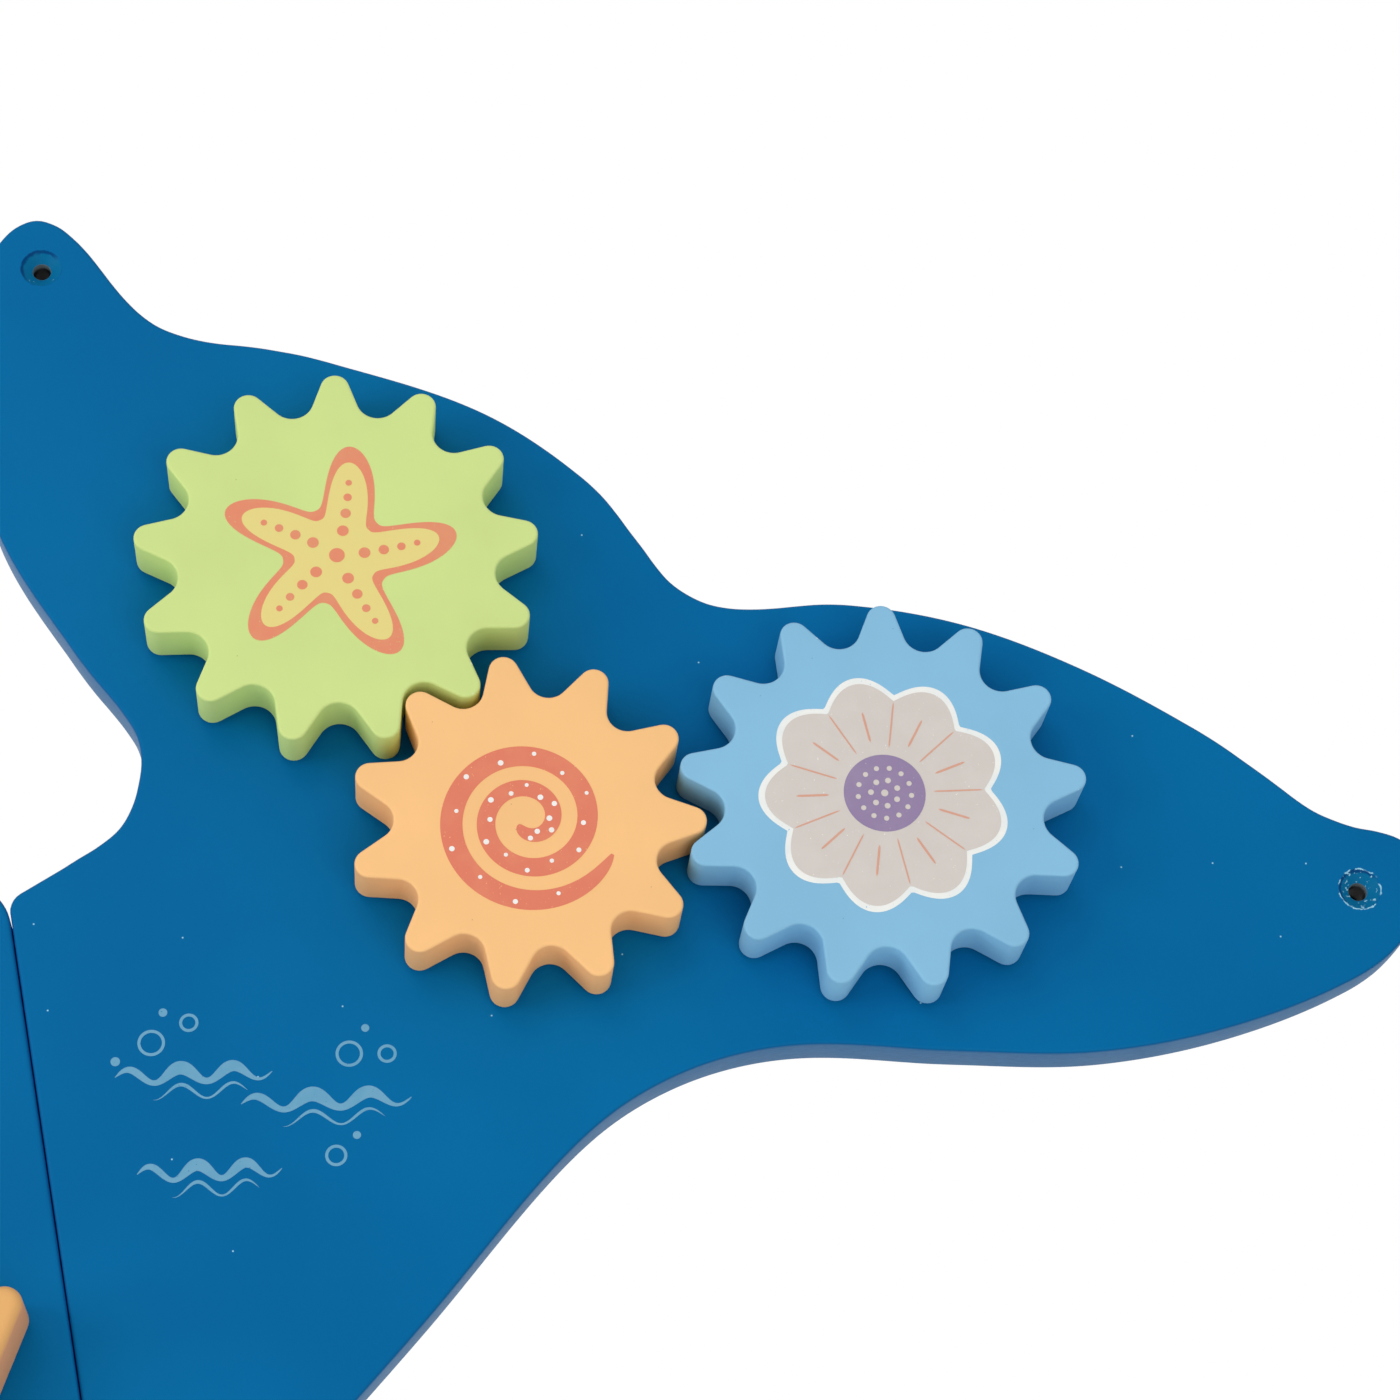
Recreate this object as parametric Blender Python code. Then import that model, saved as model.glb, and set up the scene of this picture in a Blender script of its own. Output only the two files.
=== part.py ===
"""Wall activity panel: a whale's tail cut from painted board, with a train of three toy gears.

Metres, +Z up. The panel stands upright, as on a wall: its back face lies in the plane Y = 0 and its
front faces -Y. The origin is on the back face, midway between the axes of the orange and blue gears.

Everything is drawn flat, as seen from the front: x to the right, y up, and height off the wall along
local Z. One empty stands that drawing up against the wall.
"""
import math

import bpy
import bmesh
from mathutils import Vector
from mathutils.geometry import interpolate_bezier

# Boards
BOARD_THICKNESS = 0.0150
BOARD_EDGE_ROUND = 0.0012
SEAM_X = -0.2098
SEAM_GAP = 0.0006
BODY_BOARD_WIDTH = 0.1150
TAIL_SEAM_CORNER = 0.0060
BODY_SEAM_CORNER = 0.0140
OUTLINE_STEP = 0.0085

# Holes for the wall screws
WALL_HOLE_RADIUS = 0.0029
WALL_SINK_RADIUS = 0.0066
WALL_SINK_DEPTH = 0.0029
TAIL_WALL_HOLES = [(-0.1705, 0.2268), (0.1966, -0.0550), (-0.1880, -0.1660)]
BODY_WALL_HOLES_FROM_SEAM = [(-0.0850, 0.0020), (-0.0850, -0.2180)]

# Gears
BIG_GEAR_TEETH = 13
SMALL_GEAR_TEETH = 11
TOOTH_MODULE = 0.0087
TOOTH_ADDENDUM = 0.00595
TOOTH_DEDENDUM = 0.00755
TOOTH_TIP_ROUND = 0.0045
TOOTH_FLANK_ANGLE = math.radians(20.0)
GEAR_THICKNESS = 0.0180
GEAR_STANDOFF = 0.0020
GEAR_EDGE_ROUND = 0.0008

# The gear train: directions of the centre lines, and the turn of the first gear
GREEN_TO_ORANGE = math.radians(-66.5)
ORANGE_TO_BLUE = math.radians(-5.6)
ORANGE_BLUE_PLAY = 0.0040
GREEN_PHASE = math.radians(81.0)
GREEN_ORANGE_LEAD = 0.047
ORANGE_BLUE_LEAD = -0.119

# Axles, bushes and what holds them behind the board
AXLE_RADIUS = 0.0100
AXLE_DEPTH_IN_GEAR = 0.0100
AXLE_EDGE_CHAMFER = 0.0008
AXLE_END_PLAY = 0.0006
BUSH_WALL = 0.0022
BUSH_FLANGE_RADIUS = 0.0165
COUNTERBORE_RADIUS = 0.0175
COUNTERBORE_DEPTH = 0.0062
WASHER_RADIUS = 0.0150
WASHER_THICKNESS = 0.0015
SCREW_RADIUS = 0.0022
SCREW_LENGTH_IN_AXLE = 0.0160
SCREW_HEAD_RADIUS = 0.0048
SCREW_HEAD_HEIGHT = 0.0023
SCREW_CROWN_RADIUS = 0.0029
SCREW_SLOT_DEPTH = 0.0012
SCREW_SLOT_RADIUS = 0.0016

# The block on the next section
BLOCK_CENTRE = (-0.2519, -0.1279)
BLOCK_CORNER_REACH = 0.0400
BLOCK_CORNER_ROUND = 0.0052
BLOCK_HEIGHT = 0.0260
BLOCK_EDGE_ROUND = 0.0030
BLOCK_TURN = math.radians(30.0)
BLOCK_SCREW_SPACING = 0.0220
BLOCK_SCREW_RISE = 0.0050
BLOCK_SCREW_RADIUS = 0.0020
BLOCK_SCREW_HEAD_RADIUS = 0.0042
BLOCK_SCREW_SINK = 0.0010
BLOCK_SCREW_BITE = 0.0180

# Clearances
SEAT_GAP = 0.0003
CUT_OVERRUN = 0.0010
TURNED_STEPS = 24

# The tail's outline from the seam's lower corner round to its upper one
TAIL_KNOTS = [
    (-0.1630, -0.1765), (-0.1100, -0.1345), (-0.0650, -0.0965), (-0.0400, -0.0810),
    (-0.0120, -0.0730), (0.0175, -0.0730), (0.0605, -0.0830), (0.1040, -0.0912),
    (0.1480, -0.0906), (0.1910, -0.0815), (0.2110, -0.0690), (0.2205, -0.0555),
    (0.2135, -0.0408), (0.2010, -0.0348), (0.1895, -0.0273), (0.1775, -0.0134),
    (0.1613, 0.0045), (0.1290, 0.0323), (0.0950, 0.0538), (0.0590, 0.0669),
    (0.0305, 0.0702), (0.0173, 0.0744), (0.0071, 0.0838), (0.0012, 0.0964),
    (-0.0115, 0.1222), (-0.0410, 0.1530), (-0.0875, 0.1794), (-0.1064, 0.1871),
    (-0.1235, 0.1924), (-0.1369, 0.2000), (-0.1454, 0.2108), (-0.1587, 0.2361),
    (-0.1696, 0.2448), (-0.1821, 0.2387), (-0.1925, 0.2190), (-0.1995, 0.1750),
    (-0.1962, 0.1340), (-0.1784, 0.0896), (-0.1646, 0.0608), (-0.1663, 0.0452),
    (-0.1741, 0.0318), (-0.1880, 0.0242),
]
TAIL_SEAM_BOTTOM = -0.2126
TAIL_SEAM_TOP = 0.0148

# The next section: its corners at the seam, how far its edges have moved at its far side,
# and how far they sag below a straight line on the way
BODY_SEAM_BOTTOM = -0.2132
BODY_SEAM_TOP = 0.0214
BODY_FAR_DROP = 0.0560
BODY_FAR_RISE = 0.0180
BODY_FAR_CORNER = 0.0060
BODY_TOP_SAG = 0.0045
BODY_BOTTOM_SAG = 0.0080


def unit(angle):
    """Unit vector in the drawing at an angle from +x."""
    return Vector((math.cos(angle), math.sin(angle)))


def paint(name, srgb, roughness, metallic=0.0):
    """Material of one colour, given as it looks on a screen, 0 to 255."""
    material = bpy.data.materials.new(name)
    material.use_nodes = True
    shader = material.node_tree.nodes["Principled BSDF"]
    linear = [((c / 255 + 0.055) / 1.055) ** 2.4 for c in srgb]
    shader.inputs["Base Color"].default_value = (*linear, 1.0)
    shader.inputs["Roughness"].default_value = roughness
    shader.inputs["Metallic"].default_value = metallic
    material.diffuse_color = (*linear, 1.0)
    return material


def empty(name, location, parent=None):
    """Empty that places the pieces built around it."""
    guide = bpy.data.objects.new(name, None)
    guide.location = location
    guide.parent = parent
    bpy.context.scene.collection.objects.link(guide)
    return guide


def add_mesh(name, bm, parent, location, material=None, sharp=math.radians(40)):
    """Object from a finished bmesh, with round faces shaded smooth."""
    bmesh.ops.recalc_face_normals(bm, faces=bm.faces)
    mesh = bpy.data.meshes.new(name)
    bm.to_mesh(mesh)
    bm.free()
    mesh.shade_smooth()
    mesh.set_sharp_from_angle(angle=sharp)
    piece = bpy.data.objects.new(name, mesh)
    piece.location = location
    piece.parent = parent
    if material:
        mesh.materials.append(material)
    bpy.context.scene.collection.objects.link(piece)
    return piece


def plate(name, outline, thickness, parent, location, material):
    """Flat piece: an outline in x and y, extruded along local Z."""
    bm = bmesh.new()
    face = bm.faces.new([bm.verts.new((x, y, 0.0)) for x, y in outline])
    walls = bmesh.ops.extrude_face_region(bm, geom=[face])
    lifted = [v for v in walls["geom"] if isinstance(v, bmesh.types.BMVert)]
    bmesh.ops.translate(bm, vec=(0.0, 0.0, thickness), verts=lifted)
    return add_mesh(name, bm, parent, location, material)


def round_edges(piece, radius):
    """Rounds the rims of a plate, front and back."""
    bevel = piece.modifiers.new("round edges", "BEVEL")
    bevel.limit_method = "ANGLE"
    bevel.angle_limit = math.radians(60)
    bevel.width = radius
    bevel.segments = 2


def turned(name, profile, parent, location, material=None, closed=False, steps=TURNED_STEPS):
    """Round piece: a profile of (radius, height) turned about local Z.

    An open profile starts and ends on the axis. A closed one is a ring and keeps its hole.
    """
    bm = bmesh.new()
    verts = [bm.verts.new((radius, 0.0, height)) for radius, height in profile]
    edges = [bm.edges.new(pair) for pair in zip(verts, verts[1:])]
    if closed:
        edges.append(bm.edges.new((verts[-1], verts[0])))
    bmesh.ops.spin(bm, geom=verts + edges, cent=(0, 0, 0), axis=(0, 0, 1),
                   angle=math.tau, steps=steps, use_merge=True)
    bmesh.ops.remove_doubles(bm, verts=bm.verts, dist=1e-6)
    return add_mesh(name, bm, parent, location, material)


def cut(piece, cutter):
    """Cuts a hole with a guide body that isn't a piece of the panel."""
    cutter.hide_render = True
    cutter.display_type = "WIRE"
    boolean = piece.modifiers.new(cutter.name, "BOOLEAN")
    boolean.operation = "DIFFERENCE"
    boolean.solver = "EXACT"
    boolean.object = cutter


def corner(point, before, after, radius, steps=5):
    """Rounded corner between two straight lines: its arc, from the first line to the second."""
    point = Vector(point)
    back = (Vector(before) - point).normalized()
    ahead = (Vector(after) - point).normalized()
    half = back.angle(ahead) / 2
    centre = point + (back + ahead).normalized() * radius / math.sin(half)
    start = point + back * radius / math.tan(half) - centre
    sweep = start.angle_signed(point + ahead * radius / math.tan(half) - centre)
    arc = []
    for k in range(steps + 1):
        turn = math.atan2(start.y, start.x) - sweep * k / steps
        arc.append(centre + radius * unit(turn))
    return arc


def smooth_run(knots, start_direction, end_direction):
    """Points of a smooth curve through the knots, without its last knot."""
    directions = [Vector(start_direction).normalized()]
    for before, after in zip(knots, knots[2:]):
        directions.append((after - before).normalized())
    directions.append(Vector(end_direction).normalized())
    points = []
    for k in range(len(knots) - 1):
        chord = (knots[k + 1] - knots[k]).length
        handle_1 = knots[k] + directions[k] * chord / 3
        handle_2 = knots[k + 1] - directions[k + 1] * chord / 3
        count = max(3, math.ceil(chord / OUTLINE_STEP) + 1)
        run = interpolate_bezier(knots[k], handle_1, handle_2, knots[k + 1], count)
        points.extend(run[:-1])
    return points


def tail_outline():
    """The tail's edge, counterclockwise, with a rounded corner at each end of the straight seam."""
    knots = [Vector(knot) for knot in TAIL_KNOTS]
    bottom = Vector((SEAM_X, TAIL_SEAM_BOTTOM))
    top = Vector((SEAM_X, TAIL_SEAM_TOP))
    bottom_arc = corner(bottom, top, knots[0], TAIL_SEAM_CORNER)
    top_arc = corner(top, knots[-1], bottom, TAIL_SEAM_CORNER)
    run = smooth_run([bottom_arc[-1], *knots, top_arc[0]], knots[0] - bottom, top - knots[-1])
    return bottom_arc[:-1] + run + top_arc


def body_outline():
    """The next section's edge, counterclockwise: straight at both seams, curved above and below."""
    right = SEAM_X - SEAM_GAP
    left = right - BODY_BOARD_WIDTH
    top_right = Vector((right, BODY_SEAM_TOP))
    top_left = Vector((left, BODY_SEAM_TOP + BODY_FAR_RISE))
    bottom_left = Vector((left, BODY_SEAM_BOTTOM - BODY_FAR_DROP))
    bottom_right = Vector((right, BODY_SEAM_BOTTOM))
    top_knot = (top_right + top_left) / 2 - Vector((0.0, BODY_TOP_SAG))
    bottom_knot = (bottom_left + bottom_right) / 2 - Vector((0.0, BODY_BOTTOM_SAG))
    arcs = [
        corner(bottom_right, bottom_knot, top_right, TAIL_SEAM_CORNER),
        corner(top_right, bottom_right, top_knot, BODY_SEAM_CORNER),
        corner(top_left, top_knot, bottom_left, BODY_FAR_CORNER),
        corner(bottom_left, top_left, bottom_knot, BODY_FAR_CORNER),
    ]
    top_run = smooth_run([arcs[1][-1], top_knot, arcs[2][0]], top_knot - top_right, top_left - top_knot)
    bottom_run = smooth_run([arcs[3][-1], bottom_knot, arcs[0][0]],
                            bottom_knot - bottom_left, bottom_right - bottom_knot)
    return arcs[0] + arcs[1][:-1] + top_run + arcs[2] + arcs[3][:-1] + bottom_run


def tooth_outline(tip_radius, root_radius, half_pitch, tip_steps=3, valley_steps=3):
    """Upper half of a tooth that points along +x, from its tip to the middle of the next valley."""
    normal = Vector((math.sin(TOOTH_FLANK_ANGLE), math.cos(TOOTH_FLANK_ANGLE)))
    tip_centre = Vector((tip_radius - TOOTH_TIP_ROUND, 0.0))
    flank_start = tip_centre + TOOTH_TIP_ROUND * normal

    # One arc rounds the valley: it touches both flanks, and the root circle in the valley's middle
    middle = unit(half_pitch)
    lean = normal.dot(middle)
    valley_radius = (root_radius * lean - normal.dot(flank_start)) / (1 - lean)
    valley_centre = (root_radius + valley_radius) * middle

    points = []
    for k in range(tip_steps + 1):
        points.append(tip_centre + TOOTH_TIP_ROUND * unit((math.pi / 2 - TOOTH_FLANK_ANGLE) * k / tip_steps))
    sweep = normal.angle(middle)
    for k in range(valley_steps + 1):
        turn = math.atan2(-normal.y, -normal.x) - sweep * k / valley_steps
        points.append(valley_centre + valley_radius * unit(turn))
    return points


def gear_outline(teeth):
    """Closed outline of a toy gear about its own centre, with the first tooth along +x."""
    pitch_radius = TOOTH_MODULE * teeth / 2
    half_pitch = math.pi / teeth
    upper = tooth_outline(pitch_radius + TOOTH_ADDENDUM, pitch_radius - TOOTH_DEDENDUM, half_pitch)
    lower = [Vector((p.x, -p.y)) for p in reversed(upper[1:-1])]
    points = []
    for k in range(teeth):
        along = unit(math.tau * k / teeth)
        across = unit(math.tau * k / teeth + math.pi / 2)
        points.extend(along * p.x + across * p.y for p in lower + upper)
    return points


def meshed_phase(line, phase, teeth, next_teeth, lead):
    """Turn of the next gear whose teeth stand in the gaps of this one, less a lead in tooth pitches."""
    passed = (line - phase) / (math.tau / teeth)
    return line + math.pi + (math.tau / next_teeth) * (passed + 0.5 + lead)


def gear_train():
    """Centre and turn of each gear, driven by the tooth sizes and the directions of the train."""
    centre_distance = TOOTH_MODULE * (BIG_GEAR_TEETH + SMALL_GEAR_TEETH) / 2
    to_blue = unit(ORANGE_TO_BLUE) * (centre_distance + ORANGE_BLUE_PLAY)
    orange_centre = -to_blue / 2
    green_centre = orange_centre - unit(GREEN_TO_ORANGE) * centre_distance
    orange_phase = meshed_phase(GREEN_TO_ORANGE, GREEN_PHASE, BIG_GEAR_TEETH, SMALL_GEAR_TEETH,
                                GREEN_ORANGE_LEAD)
    blue_phase = meshed_phase(ORANGE_TO_BLUE, orange_phase, SMALL_GEAR_TEETH, BIG_GEAR_TEETH,
                              ORANGE_BLUE_LEAD)
    return {
        "green": (BIG_GEAR_TEETH, green_centre, GREEN_PHASE),
        "orange": (SMALL_GEAR_TEETH, orange_centre, orange_phase),
        "blue": (BIG_GEAR_TEETH, to_blue / 2, blue_phase),
    }


def gear_back():
    return BOARD_THICKNESS + GEAR_STANDOFF


def axle_back():
    """Height of the axle's back end, which stands a little proud of the counterbore's floor."""
    return COUNTERBORE_DEPTH - AXLE_END_PLAY


def bush_radius():
    return AXLE_RADIUS + SEAT_GAP + BUSH_WALL


def wall_hole(name, board, spot, frame):
    """Hole for a wall screw, countersunk from the front."""
    slope = (WALL_SINK_RADIUS - WALL_HOLE_RADIUS) / WALL_SINK_DEPTH
    top = BOARD_THICKNESS + CUT_OVERRUN
    profile = [
        (0.0, top),
        (WALL_SINK_RADIUS + slope * CUT_OVERRUN, top),
        (WALL_HOLE_RADIUS, BOARD_THICKNESS - WALL_SINK_DEPTH),
        (WALL_HOLE_RADIUS, -CUT_OVERRUN),
        (0.0, -CUT_OVERRUN),
    ]
    cut(board, turned(name, profile, frame, (*spot, 0.0)))


def axle_bore(name, board, station):
    """Stepped bore in the board: the bush in front, the counterbore for washer and screw behind."""
    profile = [
        (0.0, BOARD_THICKNESS + CUT_OVERRUN),
        (bush_radius() + SEAT_GAP, BOARD_THICKNESS + CUT_OVERRUN),
        (bush_radius() + SEAT_GAP, COUNTERBORE_DEPTH),
        (COUNTERBORE_RADIUS, COUNTERBORE_DEPTH),
        (COUNTERBORE_RADIUS, -CUT_OVERRUN),
        (0.0, -CUT_OVERRUN),
    ]
    cut(board, turned(f"{name}_axle_bore", profile, station, (0.0, 0.0, 0.0)))


def gear(name, teeth, phase, station, material):
    """Toothed wooden gear with a blind bore for its axle in the back."""
    wheel = plate(f"{name}_gear", gear_outline(teeth), GEAR_THICKNESS, station,
                  (0.0, 0.0, gear_back()), material)
    wheel.rotation_euler.z = phase
    round_edges(wheel, GEAR_EDGE_ROUND)
    profile = [
        (0.0, AXLE_DEPTH_IN_GEAR),
        (AXLE_RADIUS + SEAT_GAP, AXLE_DEPTH_IN_GEAR),
        (AXLE_RADIUS + SEAT_GAP, -CUT_OVERRUN),
        (0.0, -CUT_OVERRUN),
    ]
    cut(wheel, turned(f"{name}_gear_bore", profile, station, (0.0, 0.0, gear_back())))


def axle(name, station, material):
    """Dowel glued into the gear, with chamfered ends and a pilot hole for its screw."""
    back = axle_back()
    front = gear_back() + AXLE_DEPTH_IN_GEAR - SEAT_GAP
    pilot_radius = SCREW_RADIUS + SEAT_GAP
    pilot_end = back + SCREW_LENGTH_IN_AXLE + SEAT_GAP
    profile = [
        (0.0, front),
        (AXLE_RADIUS - AXLE_EDGE_CHAMFER, front),
        (AXLE_RADIUS, front - AXLE_EDGE_CHAMFER),
        (AXLE_RADIUS, back + AXLE_EDGE_CHAMFER),
        (AXLE_RADIUS - AXLE_EDGE_CHAMFER, back),
        (pilot_radius, back),
        (pilot_radius, pilot_end),
        (0.0, pilot_end),
    ]
    turned(f"{name}_axle", profile, station, (0.0, 0.0, 0.0), material)


def bush(name, station, material):
    """Plastic bush: a sleeve through the board, and a flange that keeps the gear off it."""
    inner = AXLE_RADIUS + SEAT_GAP
    flange_back = BOARD_THICKNESS + SEAT_GAP
    flange_front = gear_back() - SEAT_GAP
    profile = [
        (inner, COUNTERBORE_DEPTH),
        (bush_radius(), COUNTERBORE_DEPTH),
        (bush_radius(), flange_back),
        (BUSH_FLANGE_RADIUS, flange_back),
        (BUSH_FLANGE_RADIUS, flange_front),
        (inner, flange_front),
    ]
    turned(f"{name}_bush", profile, station, (0.0, 0.0, 0.0), material, closed=True)


def washer(name, station, material):
    """Steel washer that keeps the axle in its bush."""
    front = axle_back() - SEAT_GAP
    hole = SCREW_RADIUS + SEAT_GAP
    profile = [
        (hole, front - WASHER_THICKNESS),
        (WASHER_RADIUS, front - WASHER_THICKNESS),
        (WASHER_RADIUS, front),
        (hole, front),
    ]
    turned(f"{name}_washer", profile, station, (0.0, 0.0, 0.0), material, closed=True)


def pan_screw(name, station, material):
    """Pan-head screw into the axle's end, with a round drive recess."""
    head_front = axle_back() - SEAT_GAP - WASHER_THICKNESS - SEAT_GAP
    head_back = head_front - SCREW_HEAD_HEIGHT
    tip = axle_back() + SCREW_LENGTH_IN_AXLE
    profile = [
        (0.0, tip),
        (SCREW_RADIUS, tip - 2 * SCREW_RADIUS),
        (SCREW_RADIUS, head_front),
        (SCREW_HEAD_RADIUS, head_front),
        (SCREW_HEAD_RADIUS, head_front - SCREW_HEAD_HEIGHT / 2),
        (SCREW_CROWN_RADIUS, head_back),
        (SCREW_SLOT_RADIUS, head_back),
        (0.0, head_back + SCREW_SLOT_DEPTH),
    ]
    turned(f"{name}_screw", profile, station, (0.0, 0.0, 0.0), material, steps=TURNED_STEPS * 2 // 3)


def block_outline():
    """Three-cornered outline about its own centre, with rounded corners."""
    tips = [unit(BLOCK_TURN + math.tau * k / 3) * BLOCK_CORNER_REACH for k in range(3)]
    points = []
    for k, tip in enumerate(tips):
        points.extend(corner(tip, tips[k - 1], tips[(k + 1) % 3], BLOCK_CORNER_ROUND, steps=8))
    return points


def block_fixing(side, board, block, spot, frame, material):
    """Countersunk screw from behind the board into the block, and the holes it passes."""
    head_back = BLOCK_SCREW_SINK
    neck = head_back + BLOCK_SCREW_HEAD_RADIUS - BLOCK_SCREW_RADIUS
    tip = BOARD_THICKNESS + SEAT_GAP + BLOCK_SCREW_BITE
    profile = [
        (0.0, tip),
        (BLOCK_SCREW_RADIUS, tip - 2 * BLOCK_SCREW_RADIUS),
        (BLOCK_SCREW_RADIUS, neck),
        (BLOCK_SCREW_HEAD_RADIUS, head_back),
        (SCREW_SLOT_RADIUS, head_back),
        (0.0, head_back + SCREW_SLOT_DEPTH),
    ]
    turned(f"block_screw_{side}", profile, frame, (*spot, 0.0), material, steps=TURNED_STEPS * 2 // 3)
    hole = BLOCK_SCREW_RADIUS + SEAT_GAP
    sink = BLOCK_SCREW_HEAD_RADIUS + SEAT_GAP
    board_profile = [
        (0.0, BOARD_THICKNESS + CUT_OVERRUN),
        (hole, BOARD_THICKNESS + CUT_OVERRUN),
        (hole, neck + SEAT_GAP),
        (sink, head_back + SEAT_GAP),
        (sink, -CUT_OVERRUN),
        (0.0, -CUT_OVERRUN),
    ]
    cut(board, turned(f"board_hole_{side}", board_profile, frame, (*spot, 0.0)))
    block_profile = [
        (0.0, tip + SEAT_GAP),
        (hole, tip + SEAT_GAP),
        (hole, BOARD_THICKNESS - CUT_OVERRUN),
        (0.0, BOARD_THICKNESS - CUT_OVERRUN),
    ]
    cut(block, turned(f"block_hole_{side}", block_profile, frame, (*spot, 0.0)))


def block(board, frame, wood, steel):
    """Tall block on the next section, standing on the board's face."""
    seat = BOARD_THICKNESS + SEAT_GAP
    piece = plate("orange_block", block_outline(), BLOCK_HEIGHT - SEAT_GAP, frame,
                  (*BLOCK_CENTRE, seat), wood)
    round_edges(piece, BLOCK_EDGE_ROUND)
    x, y = BLOCK_CENTRE
    for side, offset in (("left", -BLOCK_SCREW_SPACING / 2), ("right", BLOCK_SCREW_SPACING / 2)):
        block_fixing(side, board, piece, (x + offset, y + BLOCK_SCREW_RISE), frame, steel)


def build():
    """Clears the scene and builds the panel."""
    for old in list(bpy.data.objects):
        bpy.data.objects.remove(old, do_unlink=True)

    board_paint = paint("board blue paint", (2, 106, 162), 0.45)
    gear_paints = {
        "green": paint("gear green paint", (206, 224, 143), 0.5),
        "orange": paint("gear orange paint", (249, 196, 135), 0.5),
        "blue": paint("gear pale blue paint", (134, 188, 221), 0.5),
    }
    block_paint = paint("block orange paint", (240, 185, 114), 0.5)
    beech = paint("beech", (214, 176, 130), 0.6)
    nylon = paint("white nylon", (228, 226, 218), 0.4)
    steel = paint("zinc plated steel", (176, 178, 180), 0.35, 1.0)

    frame = empty("panel", (0.0, 0.0, 0.0))
    frame.rotation_euler.x = math.pi / 2

    tail_board = plate("tail_board", tail_outline(), BOARD_THICKNESS, frame, (0.0, 0.0, 0.0), board_paint)
    round_edges(tail_board, BOARD_EDGE_ROUND)
    for number, spot in enumerate(TAIL_WALL_HOLES, start=1):
        wall_hole(f"tail_wall_hole_{number}", tail_board, spot, frame)

    body_board = plate("body_board", body_outline(), BOARD_THICKNESS, frame, (0.0, 0.0, 0.0), board_paint)
    round_edges(body_board, BOARD_EDGE_ROUND)
    for number, (off_seam, y) in enumerate(BODY_WALL_HOLES_FROM_SEAM, start=1):
        wall_hole(f"body_wall_hole_{number}", body_board, (SEAM_X + off_seam, y), frame)
    block(body_board, frame, block_paint, steel)

    for name, (teeth, centre, phase) in gear_train().items():
        station = empty(f"{name}_station", (*centre, 0.0), frame)
        axle_bore(name, tail_board, station)
        gear(name, teeth, phase, station, gear_paints[name])
        axle(name, station, beech)
        bush(name, station, nylon)
        washer(name, station, steel)
        pan_screw(name, station, steel)


build()
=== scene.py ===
"""Looks of the wall activity panel: two painted boards, three printed toy gears and a painted block.

Metres, +Z up. The panel stands upright with its front facing -Y and its back in the plane Y = 0.
Outlines are flat, in (x, z) as seen from the front, and a height is a Y value.
"""

import math
import random

import bmesh
import bpy
from mathutils import Matrix, Vector
from mathutils.geometry import interpolate_bezier


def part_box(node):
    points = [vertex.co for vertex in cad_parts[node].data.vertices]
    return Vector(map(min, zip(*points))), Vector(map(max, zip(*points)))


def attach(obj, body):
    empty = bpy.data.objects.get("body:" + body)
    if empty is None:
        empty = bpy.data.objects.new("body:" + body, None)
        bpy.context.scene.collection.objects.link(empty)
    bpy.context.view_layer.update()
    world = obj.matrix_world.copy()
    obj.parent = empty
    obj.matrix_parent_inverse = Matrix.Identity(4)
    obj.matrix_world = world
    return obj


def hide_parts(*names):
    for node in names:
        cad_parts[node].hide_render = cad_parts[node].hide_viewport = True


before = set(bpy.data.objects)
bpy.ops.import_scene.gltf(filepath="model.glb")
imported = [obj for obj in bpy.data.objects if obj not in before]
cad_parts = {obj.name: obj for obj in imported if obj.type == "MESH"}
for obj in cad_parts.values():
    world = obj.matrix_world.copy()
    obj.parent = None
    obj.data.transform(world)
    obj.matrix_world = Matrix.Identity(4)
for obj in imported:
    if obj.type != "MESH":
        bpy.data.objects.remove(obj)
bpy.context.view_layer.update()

# Camera: where it stands, where it looks, and how far it is turned about its own axis
CAMERA_PLACE = (-0.1642, -1.0787, -0.3804)
CAMERA_AIM = (0.0049, -0.0350, 0.0344)
CAMERA_ROLL = math.radians(-12.67)
CAMERA_LENS = 95.76
SENSOR_WIDTH = 36.0

# Studio
FLOOR_HEIGHT = -1.60
FLOOR_SIZE = 60.0
SKY_LIGHT = 0.66
SKY_SEEN = 1.0
FLOOR_GLOW = 0.3

# Lights: name, place, width in metres and power in watts
LIGHTS = [
    ("key light", (-0.5, -1.9, 0.95), 1.0, 4.5),
    ("left light", (-1.65, -0.95, 0.15), 1.2, 10.0),
    ("low light", (0.3, -1.45, -0.95), 1.2, 6.6),
]

# Where the two boards meet, and the paint that has run into the gap from both sides
SEAM_MIDDLE = (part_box("tail_board")[0].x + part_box("body_board")[1].x) / 2
SEAM_REACH = 0.0010
SEAM_PAINT = 0.00015

# Heights that the frame's nodes share
BOARD_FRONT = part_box("tail_board")[0].y
GEAR_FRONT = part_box("green_gear")[0].y
GEAR_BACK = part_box("green_gear")[1].y

# Rounded rims
BOARD_ROUND = 0.0012
GEAR_ROUND = 0.0008
BLOCK_ROUND = 0.0030
ROUND_STEPS = 5
RIM_LIP = 0.0003
SHARP_EDGE = math.radians(35)
SAME_PLACE = 1e-6
LEVEL_TOLERANCE = 5e-5

# Outlines: how far apart their points lie, and from what length a stretch of them is straight
BOARD_SPACING = 0.0016
BOARD_STRAIGHT_FROM = 0.0120
GEAR_SPACING = 0.0008
GEAR_STRAIGHT_FROM = 0.0045

# Slots of a board's materials beside the first, and which way the faces turn that take them
EDGE_SLOT = 1
SEAM_SLOT = 2
EDGE_FACES_FRONT = 0.5
SEAM_FACES_SIDE = 0.85

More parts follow.
